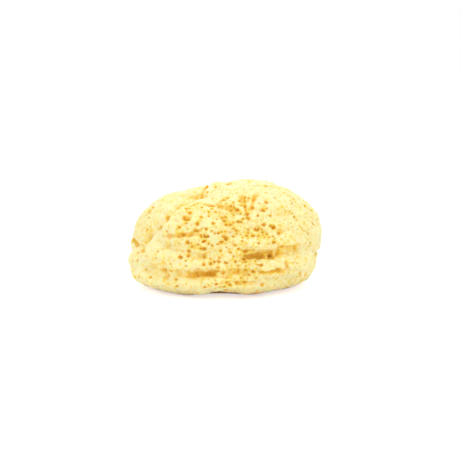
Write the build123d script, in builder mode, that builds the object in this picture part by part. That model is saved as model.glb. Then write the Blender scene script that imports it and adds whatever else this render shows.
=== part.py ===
from build123d import *
import math
import os
import random

os.makedirs("parts", exist_ok=True)

# Driving dimensions, in millimetres.
length = 90.0
depth = 72.0
height = 48.0
fold_width = 1.5
pore_radius = 0.85
pore_depth = 4.5
pore_lip = 0.6
canal_radius = 1.9
canal_depth = 7.0
rim_lift = 1.7

half_length = length / 2
half_depth = depth / 2
reach = length

# The plump lobes the sponge grew as: centre and radii as shares of half the length,
# half the depth and the height, then the lean about the depth axis in degrees.
lobes = {
    "crown": ((0.24, 0.0, 0.44), (0.74, 0.83, 0.56), 0),
    "right shoulder": ((0.50, 0.04, 0.47), (0.50, 0.72, 0.44), 0),
    "left back": ((-0.33, 0.18, 0.36), (0.66, 0.76, 0.52), 0),
    "middle": ((0.0, -0.08, 0.31), (0.94, 0.86, 0.42), 0),
    "brow": ((-0.20, -0.28, 0.50), (0.49, 0.62, 0.36), 14),
    "left cheek": ((-0.28, -0.24, 0.35), (0.58, 0.71, 0.19), 2),
    "right ridge": ((0.31, -0.14, 0.52), (0.58, 0.75, 0.19), 3),
    "right cheek": ((0.38, -0.14, 0.31), (0.57, 0.80, 0.22), 0),
    "lower lip": ((-0.08, -0.19, 0.16), (0.89, 0.81, 0.21), 0),
    "right foot": ((0.40, -0.05, 0.23), (0.54, 0.76, 0.27), 0),
    "left foot": ((-0.38, 0.0, 0.26), (0.62, 0.72, 0.28), 0),
    "right rump": ((0.34, 0.46, 0.34), (0.54, 0.54, 0.38), 0),
    "left rump": ((-0.26, 0.45, 0.27), (0.56, 0.54, 0.34), 0),
}


with BuildPart() as growth:
    for centre, radii, lean in lobes.values():
        place = Location((centre[0] * half_length, centre[1] * half_depth, centre[2] * height), (0, lean, 0))
        size = (radii[0] * half_length, radii[1] * half_depth, radii[2] * height)
        lobe = scale(Sphere(1, mode=Mode.PRIVATE), by=size, mode=Mode.PRIVATE)
        add(lobe.moved(place))
    split(bisect_by=Plane.XY)

skin = growth.part.shell()


def touch(start, heading):
    """Where a line from outside first meets the skin, and which way the skin faces there."""
    heading = heading.normalized()
    meets = skin.find_intersection_points(Axis(start, heading))
    point, facing = min(meets, key=lambda meet: (meet[0] - start).dot(heading))
    if facing.dot(heading) > 0:
        facing = facing * -1
    return point, facing


def front(x, z):
    return touch(Vector(x, -reach, z), Vector(0, 1, 0))


def above(x, y):
    return touch(Vector(x, y, reach), Vector(0, 0, -1))


def around(turn, z):
    """A spot on the side, the turn counted in degrees from the right-hand end to the back."""
    outward = Vector(math.cos(math.radians(turn)), math.sin(math.radians(turn)), 0)
    return touch(outward * reach + Vector(0, 0, z), outward * -1)


def fold(spots, sink, width):
    """A crease that follows the spots: it starts and ends above the skin and sinks between."""
    last = len(spots) - 1
    track = []
    for number, (point, facing) in enumerate(spots):
        swell = math.sin(math.pi * number / last) ** 0.6
        track.append(point + facing * sink * (1.15 - 1.3 * swell))
    with BuildPart() as crease:
        with BuildLine() as route:
            Spline(*track)
        with BuildSketch(Plane(origin=route.line @ 0, x_dir=spots[0][1], z_dir=route.line % 0)):
            Ellipse(sink, width / 2)
        sweep()
    return crease.part


# The creases that part the tiers at the front, as spots across and up.
front_folds = [
    ([(6, 19.4), (10, 19.7), (14, 19.8), (18, 19.6), (21, 20.2), (24, 21.8), (27, 22.6), (31, 22.6), (35, 22.0)], 4.4, 2.6),
    ([(-20, 12.0), (-14, 12.2), (-8, 12.2), (-2, 12.8), (4, 13.0), (9, 13.5), (14, 12.7)], 3.4, 1.5),
    ([(12, 13.4), (17, 12.7), (22, 13.3), (27, 12.8), (32, 12.0)], 2.8, 1.4),
    ([(3, 8.2), (7, 8.6), (11, 8.6), (15, 8.0), (18, 7.0)], 1.8, 1.1),
    ([(-34, 11.2), (-30, 10.7), (-26, 9.9), (-22, 9.0)], 1.6, 1.1),
    ([(-28, 26.0), (-23, 27.8), (-18, 29.0), (-13, 29.6), (-9, 30.0)], 1.8, 1.4),
    ([(-13, 40.4), (-8, 40.2), (-3, 39.7), (2, 39.4), (7, 37.4)], 1.8, 1.3),
    ([(7.0, 45.0), (8.0, 42.0), (9.0, 39.5), (9.8, 36.8)], 1.3, 1.3),
    ([(14.0, 45.0), (12.8, 42.5), (11.8, 40.0), (11.4, 37.8)], 1.2, 1.2),
    ([(26.0, 17.6), (27.5, 15.0), (28.0, 12.0), (27.6, 9.0)], 1.4, 1.2),
]

# The creases round the sides and back, as turns and heights.
side_folds = [
    ([(-30, 15.0), (-18, 16.2), (-6, 15.4), (8, 17.0)], 2.2, 1.4),
    ([(50, 27.0), (62, 25.0), (75, 22.5), (88, 21.0), (102, 22.5), (114, 22.0)], 2.8, 1.6),
    ([(52, 10.0), (68, 9.0), (84, 10.0), (100, 9.0)], 2.2, 1.3),
    ([(122, 9.5), (138, 8.6), (152, 9.6)], 2.0, 1.2),
    ([(140, 23.0), (156, 20.5), (172, 20.0), (187, 19.2), (200, 20.4)], 2.4, 1.5),
    ([(20, 34.0), (34, 32.0), (48, 33.5)], 1.6, 1.3),
]

# The creases seen from above, as spots across and back.
top_folds = [
    ([(-13, 24), (-8, 17), (-7, 9), (-9, 2), (-13, -5)], 2.4, 1.6),
    ([(30, 22), (22, 24), (14, 22), (7, 24)], 1.8, 1.3),
    ([(-34, 6), (-30, 12), (-24, 16)], 1.5, 1.2),
]

# The pores seen from the front: across, up and the share of the usual width.
front_pores = [
    (-17, 35.5, 1.5), (-10, 35, 0.9), (-4.5, 34, 1.1), (2, 35, 1.1), (7, 37, 1.0),
    (9.6, 36.8, 1.2), (14.5, 37, 1.1), (6.5, 34, 1.0), (10.8, 34, 1.0), (-12.5, 31, 1.4),
    (-8, 29.3, 1.5), (-4, 29.8, 1.0), (-1, 31.6, 1.0), (3.6, 31.2, 1.1), (0.8, 27.6, 1.5),
    (-5, 27.3, 1.2), (-13.5, 27.0, 0.9), (-16.5, 31.5, 0.8), (-9, 23.5, 1.2), (-9, 20, 1.0),
    (-16, 20.5, 1.0), (-22, 20.5, 0.8), (14.2, 31.4, 1.5), (17.4, 32.8, 1.0), (18.6, 29.5, 1.1),
    (21.5, 31.3, 1.1), (26.5, 29.3, 0.8), (32, 34, 1.2), (16.3, 7.2, 1.2), (8.8, 8.9, 0.9),
    (-1.3, 8.6, 0.8), (-8.6, 6.6, 0.9), (6, 13.4, 1.0), (12.3, 13.2, 1.3), (24, 14, 1.0),
    (-4, 20.6, 0.9), (-26, 22.5, 0.8), (-20, 25, 0.9), (27, 17, 0.8), (34, 27, 0.9),
]

folds = [fold([front(*spot) for spot in spots], sink, width) for spots, sink, width in front_folds]
folds += [fold([around(*spot) for spot in spots], sink, width) for spots, sink, width in side_folds]
folds += [fold([above(*spot) for spot in spots], sink, width) for spots, sink, width in top_folds]

pores = [(front(x, z), share) for x, z, share in front_pores]

# Scattered pores over the rest, denser low down and round the back, none crowding another.
scatter = random.Random(14)
for number in range(90):
    turn = math.radians(scatter.uniform(-40, 220))
    rise = math.radians(90 * scatter.random() ** 1.4)
    outward = Vector(math.cos(turn) * math.cos(rise), math.sin(turn) * math.cos(rise), math.sin(rise))
    spot = touch(outward * reach + Vector(0, 0, height * 0.25), outward * -1)
    share = scatter.choice((0.8, 0.9, 1.1, 1.4))
    if min((spot[0] - other[0][0]).length for other in pores) > pore_depth:
        pores.append((spot, share))

# Canals that open on the flat foot, on a sunflower spiral that leaves the middle solid.
canals = []
for number in range(2, 15):
    turn = math.radians(number * 137.5)
    out = 0.58 * math.sqrt(number / 15)
    canals.append((half_length * out * math.cos(turn), half_depth * out * math.sin(turn), -0.1))

# Arches where the rim lifts off the ground, as turn, reach along the rim and share of the lift.
arches = []
for turn, along, share in ((-92, 17, 1.0), (-50, 7, 0.7), (-8, 9, 0.8), (75, 10, 0.9), (165, 9, 0.8)):
    hollow = scale(Sphere(1, mode=Mode.PRIVATE), by=(8.0, along, rim_lift * share * 1.4), mode=Mode.PRIVATE)
    across = half_length * 0.66 * math.cos(math.radians(turn))
    back = half_depth * 0.80 * math.sin(math.radians(turn))
    arches.append(Pos(across, back, 0) * Rot(0, 0, turn) * hollow)

with BuildPart() as sponge:
    add(growth.part)
    add(folds, mode=Mode.SUBTRACT)
    # Each pore is square to the skin and narrows as it goes in; its mouth starts proud of the skin.
    for share in sorted({share for spot, share in pores}):
        radius = pore_radius * share
        mouths = [
            Plane(origin=point + facing * pore_lip, z_dir=facing)
            for (point, facing), size in pores
            if size == share
        ]
        with Locations(*mouths):
            Cone(
                bottom_radius=radius * 0.55,
                top_radius=radius * 1.1,
                height=pore_lip + pore_depth * (0.6 + 0.5 * share),
                align=(Align.CENTER, Align.CENTER, Align.MAX),
                mode=Mode.SUBTRACT,
            )
    for number, share in enumerate((1.2, 0.6, 0.9)):
        with Locations(*canals[number::3]):
            Cone(
                bottom_radius=canal_radius * share,
                top_radius=canal_radius * share * 0.6,
                height=canal_depth,
                align=(Align.CENTER, Align.CENTER, Align.MIN),
                mode=Mode.SUBTRACT,
            )
    add(arches, mode=Mode.SUBTRACT)

# The origin sits under the middle of the sponge, on the ground.
box = sponge.part.bounding_box()
sponge.part = sponge.part.moved(Location((-box.center().X, -box.center().Y, -box.min.Z)))
sponge.part.label = "sponge"
export_step(sponge.part, "parts/sponge.step")
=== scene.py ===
"""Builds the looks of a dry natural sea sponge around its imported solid."""

import math
import random

import bmesh
import bpy
import numpy as np
from mathutils import Matrix, Vector, noise
from mathutils.bvhtree import BVHTree
from mathutils.kdtree import KDTree


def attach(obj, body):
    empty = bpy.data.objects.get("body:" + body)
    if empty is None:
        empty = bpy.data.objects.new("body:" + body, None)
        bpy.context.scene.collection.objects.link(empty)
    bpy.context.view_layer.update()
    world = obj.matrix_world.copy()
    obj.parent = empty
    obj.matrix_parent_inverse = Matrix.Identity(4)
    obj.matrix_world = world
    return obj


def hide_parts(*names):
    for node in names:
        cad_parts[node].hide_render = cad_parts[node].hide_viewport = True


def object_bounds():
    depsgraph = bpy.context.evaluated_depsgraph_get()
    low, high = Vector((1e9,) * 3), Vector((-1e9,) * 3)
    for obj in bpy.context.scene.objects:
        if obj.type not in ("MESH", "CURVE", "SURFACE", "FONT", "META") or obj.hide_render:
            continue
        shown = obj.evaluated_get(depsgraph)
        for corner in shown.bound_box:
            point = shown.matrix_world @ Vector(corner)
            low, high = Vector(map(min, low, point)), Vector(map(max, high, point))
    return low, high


bl_info = {
    "name": "Natural Sea Sponge",
    "version": (1, 0, 0),
    "blender": (4, 5, 0),
    "location": "3D View > Sidebar > Sponge",
    "description": "Grows the lobed, porous skin of a dry sea sponge and sets a pale studio around it",
    "category": "Object",
}

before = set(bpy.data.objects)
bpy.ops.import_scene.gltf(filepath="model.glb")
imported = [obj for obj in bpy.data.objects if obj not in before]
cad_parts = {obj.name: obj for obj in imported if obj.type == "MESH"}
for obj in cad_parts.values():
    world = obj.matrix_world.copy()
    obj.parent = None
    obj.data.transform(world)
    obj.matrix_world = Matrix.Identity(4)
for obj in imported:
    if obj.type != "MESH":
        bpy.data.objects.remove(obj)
CAD_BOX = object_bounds()
NODE = "sponge"
MM = 0.001


class SpongeSettings(bpy.types.PropertyGroup):
    """Sizes and colours of the sponge."""

    lump_size: bpy.props.FloatProperty(
        name="Lump size",
        description="Distance across one soft lump of the skin",
        default=7.0 * MM,
        unit="LENGTH",
    )
    lump_height: bpy.props.FloatProperty(
        name="Lump height",
        description="How far the lumps stand above the valleys between them",
        default=0.75 * MM,
        unit="LENGTH",
    )
    nub_size: bpy.props.FloatProperty(
        name="Nub size",
        description="Distance across one of the small nubs that cover the lumps",
        default=2.2 * MM,
        unit="LENGTH",
    )
    nub_height: bpy.props.FloatProperty(
        name="Nub height",
        description="How far the small nubs stand out",
        default=0.30 * MM,
        unit="LENGTH",
    )
    pore_count: bpy.props.IntProperty(
        name="Small pores",
        description="How many small pores are scattered over the skin",
        default=4200,
        min=0,
    )
    pore_radius: bpy.props.FloatProperty(
        name="Small pore radius",
        description="Usual radius of a small pore's mouth",
        default=0.52 * MM,
        unit="LENGTH",
    )
    skin_voxel: bpy.props.FloatProperty(
        name="Skin fineness",
        description="Edge length of the mesh that the finished skin is made of",
        default=0.33 * MM,
        unit="LENGTH",
    )
    triangles: bpy.props.IntProperty(
        name="Triangles",
        description="Most triangles that the finished skin may have",
        default=190000,
        min=1000,
    )
    seed: bpy.props.IntProperty(
        name="Seed",
        description="Picks another growth of the same kind",
        default=5,
    )
    pale: bpy.props.FloatVectorProperty(
        name="Pale skin",
        description="Colour of the plump, pale places",
        subtype="COLOR",
        size=3,
        default=(1.0, 0.85, 0.45),
        min=0.0,
        max=1.0,
    )
    honey: bpy.props.FloatVectorProperty(
        name="Honey skin",
        description="Colour of the yellower places",
        subtype="COLOR",
        size=3,
        default=(0.97, 0.66, 0.10),
        min=0.0,
        max=1.0,
    )
    # Hollow shade is painted shade: an orange that stands for the shade deep in the pores and creases.
    hollow_shade: bpy.props.FloatVectorProperty(
        name="Hollows",
        description="Colour deep in the pores and creases",
        subtype="COLOR",
        size=3,
        default=(0.84, 0.52, 0.03),
        min=0.0,
        max=1.0,
    )
    # The foot colour is painted contact shade: a rusty orange where the sponge sits on the floor.
    foot: bpy.props.FloatVectorProperty(
        name="Foot",
        description="Rusty colour of the cut foot",
        subtype="COLOR",
        size=3,
        default=(0.80, 0.34, 0.06),
        min=0.0,
        max=1.0,
    )
    roughness: bpy.props.FloatProperty(
        name="Roughness",
        description="How matt the fibres are",
        default=0.85,
        min=0.0,
        max=1.0,
        subtype="FACTOR",
    )


class StageSettings(bpy.types.PropertyGroup):
    """Floor, lamps and camera."""

    floor: bpy.props.FloatVectorProperty(
        name="Floor",
        description="Colour of the plain floor",
        subtype="COLOR",
        size=3,
        default=(0.90, 0.90, 0.90),
        min=0.0,
        max=1.0,
    )
    lamp: bpy.props.FloatProperty(
        name="Lamp",
        description="Power of each main soft lamp, in watts",
        default=0.62,
        min=0.0,
    )
    sky: bpy.props.FloatProperty(
        name="Sky",
        description="Strength of the even light from all round",
        default=0.80,
        min=0.0,
    )
    distance: bpy.props.FloatProperty(
        name="Camera distance",
        description="From the camera to the middle of the sponge",
        default=0.52,
        unit="LENGTH",
    )
    rise: bpy.props.FloatProperty(
        name="Camera rise",
        description="How far above level the camera looks from",
        default=math.radians(12),
        subtype="ANGLE",
    )


# Creases pressed into the skin, seen from the front: spots across and up, half width and
# depth, all in millimetres. A negative depth raises a ridge.
FRONT_CREASES = (
    (((-11, 41.6), (-17, 40.8), (-21.5, 38.8), (-25.5, 35.2), (-28.8, 31.0), (-30.8, 27.6)), 2.6, 5.6),
    (((-30.0, 28.4), (-34.6, 24.4), (-37.8, 20.4), (-38.6, 16.0)), 2.2, 3.8),
    (((-14, 39.4), (-18, 38.2), (-22, 34.8), (-25.2, 30.4), (-26.6, 27.4)), 2.2, -1.3),
    (((-20, 12.0), (-14, 12.2), (-9, 12.2), (-4, 12.7), (2, 13.2), (8, 13.5), (13, 13.0)), 1.0, 2.0),
    (((11, 13.2), (18, 12.6), (24, 13.4), (28, 12.6), (34, 12.0)), 0.9, 1.8),
    (((3, 8.3), (7, 8.7), (11, 8.6), (16, 7.9)), 0.8, 1.2),
    (((-35, 11.3), (-30, 10.7), (-26, 9.9), (-21, 8.8)), 0.9, 1.2),
    (((-29, 26.2), (-24, 27.7), (-19, 29.0), (-13, 29.9)), 0.9, 1.2),
    (((-13, 40.4), (-8, 40.4), (-3, 39.7), (2, 39.4), (7, 37.4)), 1.1, 2.2),
    (((6.8, 45.6), (8.2, 42.0), (9.2, 39.5), (9.9, 36.8)), 1.0, 2.2),
    (((14.2, 45.0), (12.8, 42.0), (12.0, 39.5), (11.6, 37.2)), 1.0, 2.0),
    (((20.5, 43.0), (17.6, 40.4), (15.2, 37.4)), 0.9, 1.5),
    (((20.5, 20.0), (23.6, 21.8), (26.5, 22.8), (30, 22.8), (34, 22.2), (39, 22.0)), 0.9, 1.8),
    (((26, 18.0), (27.4, 15.0), (28.0, 10.8)), 0.9, 1.6),
    (((-31, 16.6), (-25, 17.4), (-18, 18.6), (-11, 19.8)), 1.2, 0.9),
    (((-24, 22.8), (-17, 23.8), (-9, 23.2)), 1.0, 0.7),
    (((2, 25.2), (8, 24.6), (14, 24.0), (21, 24.8)), 2.6, -0.9),
    (((-30, 14.0), (-22, 14.6), (-12, 15.6), (-2, 16.4)), 2.2, -0.6),
)

# Larger openings seen from the front: across, up, half width, half height and depth, in millimetres.
FRONT_OPENINGS = (
    (11.4, 19.5, 2.1, 1.2, 4.5),
    (14.6, 19.7, 2.5, 1.4, 5.0),
    (20.8, 19.9, 1.5, 1.1, 3.6),
    (23.7, 21.9, 1.1, 0.8, 3.0),
    (28.8, 22.9, 1.0, 0.7, 2.4),
    (-12.6, 12.1, 2.4, 0.7, 3.0),
    (-8.2, 12.4, 2.6, 1.0, 3.6),
    (-5.2, 11.5, 0.9, 0.8, 2.6),
    (-0.4, 13.0, 0.7, 0.6, 2.0),
    (3.6, 13.1, 1.2, 0.7, 2.4),
    (6.0, 13.4, 1.0, 0.8, 2.6),
    (9.1, 13.7, 1.1, 0.9, 2.8),
    (12.4, 13.2, 1.3, 0.9, 3.0),
    (17.6, 13.4, 0.7, 0.7, 2.0),
    (23.9, 13.9, 1.1, 0.8, 2.6),
    (28.0, 12.4, 0.8, 0.9, 2.4),
    (8.8, 8.9, 0.8, 0.7, 3.0),
    (16.3, 7.2, 1.0, 0.9, 3.2),
    (-1.3, 8.6, 0.6, 0.6, 2.2),
    (-8.6, 6.6, 0.7, 0.9, 2.2),
    (-30.0, 10.6, 1.4, 0.5, 1.8),
    (-17.0, 35.4, 1.8, 1.1, 2.2),
    (-10.0, 34.8, 0.9, 0.8, 2.2),
    (-4.6, 34.0, 1.5, 0.8, 2.6),
    (2.0, 35.0, 1.0, 0.8, 3.0),
    (7.0, 37.0, 0.9, 0.8, 3.0),
    (9.7, 36.8, 0.8, 1.4, 3.2),
    (14.4, 36.9, 0.8, 1.3, 3.0),
    (6.4, 33.9, 1.4, 0.7, 2.4),
    (10.8, 33.8, 1.1, 0.8, 2.8),
    (-12.6, 31.0, 1.5, 0.9, 3.0),
    (-16.6, 30.4, 0.8, 0.7, 2.0),
    (-8.0, 29.2, 1.7, 1.3, 3.6),
    (-3.4, 29.9, 1.6, 0.7, 2.8),
    (-1.0, 31.6, 0.9, 0.9, 2.8),
    (3.6, 31.2, 1.0, 0.9, 3.0),
    (0.8, 27.7, 1.2, 1.5, 3.6),
    (-5.2, 27.2, 0.8, 1.3, 2.8),
    (-3.9, 25.9, 0.7, 0.7, 2.2),
    (-13.4, 27.4, 1.0, 0.6, 2.2),
    (-20.4, 26.4, 0.9, 0.7, 2.0),
    (-9.0, 23.4, 0.9, 1.1, 3.0),
    (-8.8, 20.0, 0.8, 1.2, 2.8),
    (-16.0, 20.4, 0.9, 1.1, 2.2),
    (-22.0, 20.4, 0.8, 0.7, 2.0),
    (-4.0, 20.6, 0.7, 0.9, 2.2),
    (14.2, 31.4, 1.7, 1.1, 3.4),
    (18.2, 32.1, 0.8, 0.9, 2.6),
    (18.6, 29.4, 1.1, 0.8, 2.6),
    (21.6, 31.3, 1.0, 1.0, 2.8),
    (8.2, 31.0, 0.6, 0.5, 1.8),
    (26.6, 29.2, 0.8, 0.6, 2.0),
    (32.0, 33.8, 1.0, 1.1, 2.4),
    (4.6, 27.6, 0.6, 0.5, 1.8),
    (-26.6, 22.6, 0.8, 0.8, 2.0),
)

# Webs that cross the openings, seen from the front: across, up, half width, half height, how far in.
FRONT_WEBS = (
    (18.2, 19.8, 1.0, 2.4, 2.9),
    (-2.6, 12.6, 1.4, 2.0, 2.4),
    (0.9, 13.0, 0.9, 1.8, 2.6),
    (7.5, 13.4, 0.7, 1.8, 2.8),
    (22.3, 20.8, 0.8, 2.4, 2.6),
    (25.0, 21.6, 1.9, 2.4, 2.7),
    (27.6, 22.0, 1.9, 2.4, 2.7),
    (30.2, 22.2, 1.9, 2.4, 2.7),
    (32.8, 22.4, 1.9, 2.4, 2.7),
    (35.4, 22.4, 1.9, 2.4, 2.7),
    (3.6, 13.2, 2.0, 1.6, 3.2),
    (11.0, 13.4, 2.4, 1.6, 3.4),
    (-14.4, 12.4, 2.4, 1.8, 3.2),
    (-18.0, 12.4, 2.4, 2.2, 2.7),
    (-21.5, 12.6, 2.4, 2.2, 2.7),
    (-24.5, 13.0, 2.4, 2.2, 2.7),
)

# Broad soft pushes, in millimetres: middle, reach and the push itself.
PUSHES = (
    ((-8, 6, 42), 11, (0, 0, 2.6)),
    ((-10, 24, 38), 10, (0, 0.8, 1.8)),
    ((-42, -6, 12), 9, (-1.0, 0, 0)),
    ((-44, 0, 18), 6, (1.2, 0, 0)),
    ((-1, -34, 0), 12, (0, 1.0, 1.6)),
)


class Sock:
    """A node socket, or a number, that can be written in sums."""

    def __init__(self, tree, link):
        self.tree = tree
        self.link = link

    def _math(self, operation, *inputs, clamp=False):
        return make(self.tree, "ShaderNodeMath", {"operation": operation, "use_clamp": clamp}, dict(enumerate(inputs)))

    def __add__(self, other):
        return self._math("ADD", self, other)

    def __sub__(self, other):
        return self._math("SUBTRACT", self, other)

    def __rsub__(self, other):
        return self._math("SUBTRACT", other, self)

    def __mul__(self, other):
        return self._math("MULTIPLY", self, other)

    def __pow__(self, other):
        return self._math("POWER", self, other)

    __radd__ = __add__
    __rmul__ = __mul__

    def clamped(self):
        return self._math("ADD", self, 0.0, clamp=True)

    def between(self, low, high):
        """0 below low, 1 above high, and smooth between."""
        return make(
            self.tree,
            "ShaderNodeMapRange",
            {"interpolation_type": "SMOOTHSTEP"},
            {"Value": self, "From Min": low, "From Max": high},
        )


def make(tree, kind, settings=None, inputs=None, output=0):
    """Adds one node: its settings first, then the values or links of its sockets."""
    node = tree.nodes.new(kind)
    for name, value in (settings or {}).items():
        setattr(node, name, value)
    for key, value in (inputs or {}).items():
        socket = node.inputs[key]
        if isinstance(value, Sock):
            tree.links.new(value.link, socket)
        else:
            socket.default_value = value
    return Sock(tree, node.outputs[output]) if len(node.outputs) else None


def mixed(tree, factor, first, second):
    """A colour between two colours."""
    return make(tree, "ShaderNodeMix", {"data_type": "RGBA"}, {0: factor, 6: first, 7: second}, output=2)


def rgba(colour):
    return (*colour, 1.0)


def sponge_material(settings):
    """Matt fibrous skin: pale on the plump places, honey between, partly random tone and partly painted shade, painted
    orange shade and a faint painted glow down in the hollows, and painted contact shade at the foot.
    """
    material = bpy.data.materials.new("sponge_fibre")
    material.use_nodes = True
    tree = material.node_tree
    tree.nodes.clear()

    where = make(tree, "ShaderNodeTexCoord", output="Object")
    hollow_shade = make(tree, "ShaderNodeAttribute", {"attribute_name": "hollow_shade"}, output="Fac")
    valley_shade = make(tree, "ShaderNodeAttribute", {"attribute_name": "valley_shade"}, output="Fac")

    def grain(size, detail=3.0, roughness=0.55, distortion=0.0):
        return make(
            tree,
            "ShaderNodeTexNoise",
            None,
            {
                "Vector": where,
                "Scale": 1.0 / size,
                "Detail": detail,
                "Roughness": roughness,
                "Distortion": distortion,
            },
            output="Fac",
        )

    patches = grain(11 * MM, 2.0).between(0.38, 0.64)
    flecks = grain(2.2 * MM, 3.0, 0.6).between(0.46, 0.64)
    fine = grain(0.9 * MM, 2.0, 0.6).between(0.46, 0.66)
    # Painted shade: the broad valleys, where the skin is shut in, are turned towards honey.
    shade = valley_shade.between(0.03, 0.30)
    # Painted pore shade: small darker dots over the skin that stand for the shade in tiny pores.
    dots = make(
        tree,
        "ShaderNodeTexVoronoi",
        {"feature": "F1"},
        {"Vector": where, "Scale": 1.0 / (1.9 * MM), "Randomness": 1.0},
    )
    painted_pore_shade = (1.0 - dots.between(0.22, 0.5)) * (0.35 + grain(7 * MM, 2.0).between(0.42, 0.6) * 0.65)
    # The honey share is partly random tone from patches and flecks and partly painted shade from the valleys and pore
    # dots.
    tone_and_shade = (patches * 0.2 + flecks * 0.4 + fine * 0.3 + shade * 0.7 + painted_pore_shade * 0.75 - 0.15).clamped()
    skin = mixed(tree, tone_and_shade, rgba(settings.pale), rgba(settings.honey))
    # Painted shade: the skin turns orange where it is shut in, deep in the pores and creases.
    hollow_shade_mask = (hollow_shade.between(0.10, 0.5) * (0.85 + flecks * 0.3)).clamped()
    skin = mixed(tree, hollow_shade_mask, skin, rgba(settings.hollow_shade))

    # Painted contact shade: the skin is tinted rusty orange up to about 2.6 mm above the floor, with a ragged edge.
    height = make(tree, "ShaderNodeSeparateXYZ", None, {0: where}, output="Z")
    foot = 1.0 - (height + patches * (-1.6 * MM)).between(0.2 * MM, 2.6 * MM)
    colour = mixed(tree, foot * 0.9, skin, rgba(settings.foot))

    # Springy fibres: short tangled threads with tiny gaps between them.
    threads = make(
        tree,
        "ShaderNodeTexVoronoi",
        {"feature": "DISTANCE_TO_EDGE"},
        {"Vector": where, "Scale": 1.0 / (0.95 * MM), "Randomness": 1.0},
    )
    weave = threads.between(0.0, 0.28) * 0.5 + grain(0.45 * MM, 3.0, 0.7, 0.6) * 0.8
    bump = make(
        tree,
        "ShaderNodeBump",
        None,
        {"Strength": 0.55, "Distance": 0.22 * MM, "Height": weave},
    )
    shader = make(
        tree,
        "ShaderNodeBsdfPrincipled",
        None,
        {
            "Base Color": colour,
            # Painted glow: the hollows give off a faint orange light of their own.
            "Emission Color": mixed(tree, hollow_shade.between(0.2, 0.9), (0.0, 0.0, 0.0, 1.0), rgba(settings.hollow_shade)),
            "Emission Strength": 0.10,
            "Roughness": settings.roughness,
            "Normal": bump,
            "Specular IOR Level": 0.25,
            "Sheen Weight": 0.25,
            "Sheen Roughness": 0.6,
            "Subsurface Weight": 0.85,
            "Subsurface Radius": (1.0, 0.62, 0.20),
            "Subsurface Scale": 4.5 * MM,
        },
    )
    make(tree, "ShaderNodeOutputMaterial", None, {"Surface": shader})
    return material


def object_from(mesh, name):
    thing = bpy.data.objects.new(name, mesh)
    bpy.context.scene.collection.objects.link(thing)
    return thing


def settle(thing):
    """Applies the object's modifiers and clears them."""
    graph = bpy.context.evaluated_depsgraph_get()
    mesh = bpy.data.meshes.new_from_object(thing.evaluated_get(graph), depsgraph=graph)
    thing.modifiers.clear()
    old = thing.data
    thing.data = mesh
    bpy.data.meshes.remove(old)


def regrow(thing, voxel, smoothing):
    """Rebuilds the skin at one even fineness, then softens it."""
    remesh = thing.modifiers.new("regrow", "REMESH")
    remesh.mode = "VOXEL"
    remesh.voxel_size = voxel
    remesh.adaptivity = 0.0
    if smoothing:
        soften = thing.modifiers.new("soften", "SMOOTH")
        soften.factor = 0.5
        soften.iterations = smoothing
    settle(thing)


def seeded_solid(name):
    """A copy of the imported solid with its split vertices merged."""
    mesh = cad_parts[NODE].data.copy()
    mesh.materials.clear()
    sheet = bmesh.new()
    sheet.from_mesh(mesh)
    bmesh.ops.remove_doubles(sheet, verts=sheet.verts, dist=0.002 * MM)
    bmesh.ops.recalc_face_normals(sheet, faces=sheet.faces)
    sheet.to_mesh(mesh)
    sheet.free()
    return object_from(mesh, name)


def pillow(place, size, shift):
    """Round tops with narrow valleys between them, from 0 in a valley to about 1 on a top."""
    return min(1.0, abs(noise.noise(place / size + shift)) * 2.4)


def swell(thing, settings):
    """Moves the skin in and out into lumps and nubs, and keeps the foot flat."""
    shift = Vector((settings.seed * 3.1, settings.seed * 1.7, 0.0))
    sheet = bmesh.new()
    sheet.from_mesh(thing.data)
    sheet.normal_update()
    moves = []
    for vert in sheet.verts:
        place = vert.co
        foot = min(1.0, max(0.0, (place.z - 0.8 * MM) / (3.0 * MM)))
        warp = place + noise.noise_vector(place / (9 * MM) + shift) * 1.6 * MM
        lump = pillow(warp, settings.lump_size, shift) - 0.45
        nub = pillow(warp, settings.nub_size, shift * 2) - 0.45
        broad = noise.noise(place / (22 * MM) - shift)
        rise = lump * settings.lump_height + nub * settings.nub_height + broad * 0.9 * MM
        moves.append(vert.normal * rise * foot)
    for vert, move in zip(sheet.verts, moves):
        vert.co += move
        vert.co.z = max(vert.co.z, 0.0)
    sheet.to_mesh(thing.data)
    sheet.free()


def push(thing):
    """Draws broad places of the skin out, as a thumb would from inside."""
    for middle, reach, way in PUSHES:
        middle = Vector(middle) * MM
        way = Vector(way) * MM
        for vert in thing.data.vertices:
            near = (vert.co - middle).length / (reach * MM)
            if near < 1.0:
                vert.co += way * (1.0 - near * near) ** 2


def along(spots, step):
    """Evenly spaced spots along a run of straight lines."""
    out = []
    for first, last in zip(spots, spots[1:]):
        count = max(1, round(math.dist(first, last) / step))
        for number in range(count):
            share = number / count
            out.append(tuple(a + (b - a) * share for a, b in zip(first, last)))
    return out + [spots[-1]]


def outline_of(thing):
    """The skin with its slits and pores bridged over, to place things on from outside."""
    shell = object_from(thing.data.copy(), "outline")
    regrow(shell, 2.4 * MM, 4)
    tree = BVHTree.FromObject(shell, bpy.context.evaluated_depsgraph_get())
    mesh = shell.data
    bpy.data.objects.remove(shell)
    bpy.data.meshes.remove(mesh)
    return tree


def from_front(outline, across, up):
    """Where a line from the front meets the outline, and which way it faces there."""
    return outline.ray_cast(Vector((across * MM, -1.0, up * MM)), Vector((0, 1, 0)))[:2]


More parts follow.
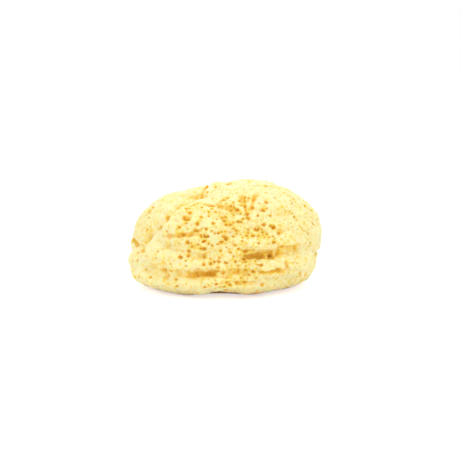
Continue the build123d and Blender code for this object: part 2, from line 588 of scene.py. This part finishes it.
def press_creases(thing, outline):
    """Presses the creases into the skin, deepest in their middles and gone at their ends."""
    normals = [vert.normal.copy() for vert in thing.data.vertices]
    moves = {}
    for spots, half_width, depth in FRONT_CREASES:
        line = []
        for across, up in along(spots, 0.6):
            spot = from_front(outline, across, up)[0]
            if spot is not None:
                line.append(spot)
        route = KDTree(len(line))
        for number, spot in enumerate(line):
            route.insert(spot, number)
        route.balance()
        for vert in thing.data.vertices:
            if vert.co.y > 0.012:
                continue
            spot, number, far = route.find(vert.co)
            reach = far / (half_width * MM)
            if reach > 2.6:
                continue
            taper = math.sin(math.pi * (number + 1) / (len(line) + 1)) ** 0.5
            uneven = 0.75 + 0.5 * noise.noise(spot / (3.0 * MM))
            amount = depth * MM * taper * uneven * math.exp(-reach * reach)
            if abs(amount) > abs(moves.get(vert.index, 0.0)):
                moves[vert.index] = amount
    for index, amount in moves.items():
        thing.data.vertices[index].co -= normals[index] * amount


def drop(place, facing, wide, high, deep, chance, sides=7):
    """A closed ragged drop: its mouth stands just above the place and its point goes down into the skin."""
    profile = ((0.92, 0.6), (1.0, 0.0), (0.86, -0.4), (0.55, -0.8))
    ragged = [chance.uniform(0.78, 1.2) for side in range(sides)]
    turn = chance.uniform(-0.2, 0.2)
    sheet = bmesh.new()
    rings = []
    for share, level in profile:
        z = level * (deep if level < 0 else min(wide, high))
        ring = []
        for side in range(sides):
            angle = 2 * math.pi * side / sides
            out = share * ragged[side]
            ring.append(sheet.verts.new((wide * out * math.cos(angle), high * out * math.sin(angle), z)))
        rings.append(ring)
    for upper, lower in zip(rings, rings[1:]):
        for side in range(sides):
            after = (side + 1) % sides
            sheet.faces.new((upper[side], lower[side], lower[after], upper[after]))
    sheet.faces.new(rings[0])
    tip = sheet.verts.new((0, 0, -deep))
    for side in range(sides):
        sheet.faces.new((rings[-1][side], tip, rings[-1][(side + 1) % sides]))
    bmesh.ops.recalc_face_normals(sheet, faces=sheet.faces)
    level = Vector((0, 0, 1)).cross(facing)
    level = level.normalized() if level.length > 0.2 else Vector((1, 0, 0))
    upright = facing.cross(level).normalized()
    frame_of = Matrix((level, upright, facing)).transposed().to_4x4()
    sheet.transform(Matrix.Translation(place) @ frame_of @ Matrix.Rotation(turn, 4, "Z"))
    mesh = bpy.data.meshes.new("drop")
    sheet.to_mesh(mesh)
    sheet.free()
    return mesh


def add_webs(thing, outline):
    """Joins webs and pore floors to the skin as overlapping lumps; the next regrowth makes them one."""
    sheet = bmesh.new()
    sheet.from_mesh(thing.data)
    for across, up, wide, high, deep in FRONT_OPENINGS:
        if abs(up - 13) < 1.6 or abs(up - 19.7) < 0.5:
            continue
        place, facing = from_front(outline, across, up)
        size = (max(wide, high) * 1.2 + 0.4) * MM
        spot = Matrix.Translation(place - facing * (size + 0.5 * MM))
        bmesh.ops.create_icosphere(sheet, subdivisions=2, radius=size, matrix=spot)
    for across, up, wide, high, deep in FRONT_WEBS:
        place, facing = from_front(outline, across, up)
        size = Matrix.Diagonal((wide * MM, 2.4 * MM, high * MM, 1.0))
        spot = place - facing * deep * MM
        bmesh.ops.create_icosphere(sheet, subdivisions=2, radius=1.0, matrix=Matrix.Translation(spot) @ size)
    sheet.to_mesh(thing.data)
    sheet.free()


def front_openings(outline, chance):
    """The larger openings at the front, each a little ragged."""
    drops = []
    places = []
    for across, up, wide, high, deep in FRONT_OPENINGS:
        place, facing = from_front(outline, across, up)
        places.append((place, max(wide, high) * MM))
        place = place + facing * 0.7 * MM
        wide, high, deep = wide * 1.25, high * 1.15, deep * 0.85 + 0.7
        drops.append(drop(place, facing, wide * MM, high * MM, deep * MM, chance, 9))
        for side in (-1, 0, 1):
            off = Vector((side * wide * chance.uniform(0.6, 1.2), 0, chance.uniform(-0.9, 0.9) * high)) * MM
            size = min(wide, high) * chance.uniform(0.45, 0.75) * MM
            drops.append(drop(place + off, facing, size, size, deep * 0.8 * MM, chance))
    return drops, places


def scattered_pores(thing, settings, chance, places):
    """Small blind pores over the whole skin, thick in some patches and thin in others."""
    shift = Vector((0.0, settings.seed * 2.3, settings.seed))
    busy = Vector((0.0, -30.0, 29.0)) * MM
    cells = {}
    widest = 4 * MM

    def crowded(spot, size):
        home = tuple(int(value // widest) for value in spot)
        for step in ((i, j, k) for i in (-1, 0, 1) for j in (-1, 0, 1) for k in (-1, 0, 1)):
            for other, wide in cells.get(tuple(a + b for a, b in zip(home, step)), ()):
                if (spot - other).length < (size + wide) * 1.2:
                    return True
        cells.setdefault(home, []).append((spot, size))
        return False

    for spot, size in places:
        crowded(spot, min(size, 1.4 * MM))
    drops = []
    verts = thing.data.vertices
    for attempt in range(settings.pore_count * 12):
        if len(drops) >= settings.pore_count:
            break
        vert = verts[chance.randrange(len(verts))]
        patch = noise.noise(vert.co / (10 * MM) + shift) * 0.9 + 0.45
        patch += 0.8 * math.exp(-((vert.co - busy).length / (15 * MM)) ** 2)
        if vert.co.z < 1.5 * MM or chance.random() > patch:
            continue
        radius = settings.pore_radius * chance.choice((0.7, 0.7, 0.85, 1.0, 1.0, 1.2, 1.5))
        spot = vert.co.copy()
        if crowded(spot, radius):
            continue
        lean = Vector([chance.uniform(-0.35, 0.35) for axis in range(3)])
        facing = (vert.normal + lean).normalized()
        deep = radius * chance.uniform(0.8, 2.0)
        if (spot - busy).length < 22 * MM:
            radius *= 1.3
            deep *= 1.7
        drops.append(drop(spot, facing, radius * chance.uniform(0.8, 1.4), radius * 0.85, deep, chance))
    return drops


def open_pores(thing, outline, settings):
    """Cuts the larger openings and the scattered pores out of the skin in one go."""
    chance = random.Random(settings.seed)
    drops, places = front_openings(outline, chance)
    for cutters in (drops, scattered_pores(thing, settings, chance, places)):
        sheet = bmesh.new()
        for held in cutters:
            sheet.from_mesh(held)
            bpy.data.meshes.remove(held)
        mesh = bpy.data.meshes.new("pore_tools")
        sheet.to_mesh(mesh)
        sheet.free()
        tools = object_from(mesh, "pore_tools")
        cut = thing.modifiers.new("pores", "BOOLEAN")
        cut.operation = "DIFFERENCE"
        cut.solver = "MANIFOLD"
        cut.object = tools
        before = len(thing.data.vertices)
        settle(thing)
        print("pores", len(cutters), before, len(thing.data.vertices))
        if len(thing.data.vertices) < before:
            raise RuntimeError("the pores were not cut")
        bpy.data.objects.remove(tools)
        bpy.data.meshes.remove(mesh)


def roughen(thing):
    """Raises the fine tips of the fibres that stand out of the skin."""
    sheet = bmesh.new()
    sheet.from_mesh(thing.data)
    bmesh.ops.smooth_vert(sheet, verts=sheet.verts, factor=0.5, use_axis_x=True, use_axis_y=True, use_axis_z=True)
    sheet.normal_update()
    for vert in sheet.verts:
        if vert.co.z > 0.6 * MM:
            tips = noise.noise(vert.co / (0.85 * MM)) * 0.13 + noise.noise(vert.co / (1.7 * MM)) * 0.12
            vert.co += vert.normal * tips * MM
    sheet.to_mesh(thing.data)
    sheet.free()


def thin_out(thing, triangles):
    """Brings the skin down to its number of triangles."""
    thing.data.calc_loop_triangles()
    count = len(thing.data.loop_triangles)
    if count > triangles:
        thin = thing.modifiers.new("thin", "DECIMATE")
        thin.ratio = triangles / count
        settle(thing)


def spread(mesh, values, rounds):
    """Shares the values between neighbouring vertices, so that they fade outwards."""
    ends = np.empty(len(mesh.edges) * 2, np.int32)
    mesh.edges.foreach_get("vertices", ends)
    ends = ends.reshape(-1, 2)
    values = np.array(values)
    links = np.bincount(ends.ravel(), minlength=len(values)) + 1
    for again in range(rounds):
        total = values.copy()
        np.add.at(total, ends[:, 0], values[ends[:, 1]])
        np.add.at(total, ends[:, 1], values[ends[:, 0]])
        values = total / links
    return values


def note_hollows(thing):
    """Stores on each vertex how shut in it is, close to and more widely: 0 in the open, 1 deep in a pore. The skin's
    colour paints shade from both.
    """
    sheet = bmesh.new()
    sheet.from_mesh(thing.data)
    sheet.normal_update()
    tree = BVHTree.FromBMesh(sheet)
    reach = 7 * MM
    wide_reach = 18 * MM
    rays = []
    for ring, (tilt, count) in enumerate(((0.0, 1), (0.55, 4), (1.0, 6))):
        for step in range(count):
            turn = 2 * math.pi * (step + ring * 0.5) / count
            rays.append(Vector((math.sin(tilt) * math.cos(turn), math.sin(tilt) * math.sin(turn), math.cos(tilt))))
    near, broad = [], []
    for vert in sheet.verts:
        turn = vert.normal.to_track_quat("Z", "Y")
        start = vert.co + vert.normal * 0.06 * MM
        shut = valley_shade = 0.0
        for ray in rays:
            far = tree.ray_cast(start, turn @ ray, wide_reach)[3]
            if far is not None:
                valley_shade += 1.0 - far / wide_reach
                shut += max(0.0, 1.0 - 0.5 * far / reach) if far < reach else 0.0
        near.append(shut / len(rays))
        broad.append(valley_shade / len(rays))
    sheet.free()
    for name, values, rounds in (("hollow_shade", near, 1), ("valley_shade", broad, 8)):
        layer = thing.data.attributes.new(name, "FLOAT", "POINT")
        layer.data.foreach_set("value", spread(thing.data, values, rounds))


class SPONGE_OT_grow(bpy.types.Operator):
    """Grow the sponge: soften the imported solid, swell its lumps, cut its small pores and give it its fibres"""

    bl_idname = "sponge.grow"
    bl_label = "Grow Sponge"

    def execute(self, context):
        settings = context.scene.sponge_settings
        skin = seeded_solid("natural_sponge")
        regrow(skin, 0.42 * MM, 2)
        push(skin)
        outline = outline_of(skin)
        press_creases(skin, outline)
        swell(skin, settings)
        add_webs(skin, outline)
        regrow(skin, 0.42 * MM, 1)
        open_pores(skin, outline, settings)
        regrow(skin, settings.skin_voxel, 0)
        roughen(skin)
        thin_out(skin, settings.triangles)
        note_hollows(skin)
        skin.data.shade_smooth()
        skin.data.materials.clear()
        skin.data.materials.append(sponge_material(settings))
        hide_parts(NODE)
        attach(skin, "root")
        return {"FINISHED"}


def area_lamp(name, place, aim, size, power, colour=(1.0, 1.0, 1.0)):
    lamp = bpy.data.lights.new(name, "AREA")
    lamp.shape = "DISK"
    lamp.size = size
    lamp.energy = power
    lamp.color = colour
    thing = bpy.data.objects.new(name, lamp)
    thing.location = place
    thing.rotation_euler = (Vector(aim) - Vector(place)).to_track_quat("-Z", "Y").to_euler()
    bpy.context.scene.collection.objects.link(thing)
    return thing


def seen_by_eye(tree):
    """1 for rays that come from the camera, a mirror-like surface or clear glass."""
    path = tree.nodes.new("ShaderNodeLightPath")
    camera, glossy, through = (
        Sock(tree, path.outputs[name]) for name in ("Is Camera Ray", "Is Glossy Ray", "Is Transmission Ray")
    )
    return (camera + glossy + through).clamped()


def floor_material(settings):
    """Plain pale floor that reads as white where it is open to the light and keeps soft shadows."""
    material = bpy.data.materials.new("studio_floor")
    material.use_nodes = True
    tree = material.node_tree
    tree.nodes.clear()
    plain = make(tree, "ShaderNodeBsdfDiffuse", None, {"Color": rgba(settings.floor)})
    glow = make(tree, "ShaderNodeEmission", None, {"Color": (1.0, 1.0, 1.0, 1.0), "Strength": 0.58})
    near = make(tree, "ShaderNodeAddShader", None, {0: plain, 1: glow})
    white = make(tree, "ShaderNodeEmission", None, {"Color": (1.0, 1.0, 1.0, 1.0), "Strength": 1.0})
    where = make(tree, "ShaderNodeTexCoord", output="Object")
    away = make(tree, "ShaderNodeVectorMath", {"operation": "LENGTH"}, {0: where}, output="Value")
    seen = make(tree, "ShaderNodeMixShader", None, {0: away.between(0.10, 0.34), 1: near, 2: white})
    shader = make(tree, "ShaderNodeMixShader", None, {0: seen_by_eye(tree), 1: plain, 2: seen})
    make(tree, "ShaderNodeOutputMaterial", None, {"Surface": shader})
    return material


def set_world(strength):
    world = bpy.data.worlds.new("studio")
    bpy.context.scene.world = world
    world.use_nodes = True
    tree = world.node_tree
    tree.nodes.clear()
    even = make(tree, "ShaderNodeBackground", None, {"Color": (1.0, 0.985, 0.96, 1.0), "Strength": strength})
    white = make(tree, "ShaderNodeBackground", None, {"Color": (1.0, 1.0, 1.0, 1.0), "Strength": 1.0})
    shader = make(tree, "ShaderNodeMixShader", None, {0: seen_by_eye(tree), 1: even, 2: white})
    make(tree, "ShaderNodeOutputWorld", None, {"Surface": shader})


class SPONGE_OT_stage(bpy.types.Operator):
    """Set the plain pale floor, the soft lamps and the camera"""

    bl_idname = "sponge.stage"
    bl_label = "Set Stage"

    def execute(self, context):
        settings = context.scene.stage_settings
        low, high = CAD_BOX
        middle = (low + high) / 2

        sheet = bmesh.new()
        bmesh.ops.create_grid(sheet, x_segments=1, y_segments=1, size=4.0)
        mesh = bpy.data.meshes.new("floor")
        sheet.to_mesh(mesh)
        sheet.free()
        floor = object_from(mesh, "floor")
        floor.location.z = low.z
        mesh.materials.append(floor_material(settings))

        area_lamp("front_left", (-0.42, -0.42, 0.36), middle, 0.35, settings.lamp)
        area_lamp("front_right", (0.42, -0.42, 0.36), middle, 0.35, settings.lamp)
        area_lamp("top", (0.0, 0.10, 0.60), middle, 0.40, settings.lamp * 1.4)
        area_lamp("back", (0.0, 0.60, 0.40), middle, 0.40, settings.lamp)
        set_world(settings.sky)

        camera = bpy.data.cameras.new("camera")
        camera.sensor_width = 36
        camera.lens = 87.7
        camera.clip_start = 0.02
        thing = bpy.data.objects.new("camera", camera)
        context.scene.collection.objects.link(thing)
        back = Vector((0.0, -math.cos(settings.rise), math.sin(settings.rise)))
        turn = (-back).to_track_quat("-Z", "Y")
        aim = Vector((middle.x, middle.y, middle.z)) + turn @ Vector((2.3 * MM, 0.9 * MM, 0.0))
        thing.location = aim + back * settings.distance
        thing.rotation_mode = "QUATERNION"
        thing.rotation_quaternion = turn
        context.scene.camera = thing
        context.scene.view_settings.view_transform = "Standard"
        return {"FINISHED"}


class SPONGE_PT_panel(bpy.types.Panel):
    """Lists the sponge's operators and settings"""

    bl_label = "Natural Sea Sponge"
    bl_idname = "SPONGE_PT_panel"
    bl_space_type = "VIEW_3D"
    bl_region_type = "UI"
    bl_category = "Sponge"

    def draw(self, context):
        column = self.layout.column()
        for owner, operator in (
            (context.scene.sponge_settings, SPONGE_OT_grow),
            (context.scene.stage_settings, SPONGE_OT_stage),
        ):
            column.operator(operator.bl_idname)
            for name in owner.__annotations__:
                column.prop(owner, name)


CLASSES = (SpongeSettings, StageSettings, SPONGE_OT_grow, SPONGE_OT_stage, SPONGE_PT_panel)


def register():
    for kind in CLASSES:
        bpy.utils.register_class(kind)
    bpy.types.Scene.sponge_settings = bpy.props.PointerProperty(type=SpongeSettings)
    bpy.types.Scene.stage_settings = bpy.props.PointerProperty(type=StageSettings)


def unregister():
    del bpy.types.Scene.stage_settings
    del bpy.types.Scene.sponge_settings
    for kind in reversed(CLASSES):
        bpy.utils.unregister_class(kind)


def main():
    register()
    bpy.ops.sponge.grow()
    bpy.ops.sponge.stage()


if __name__ == "__main__":
    main()
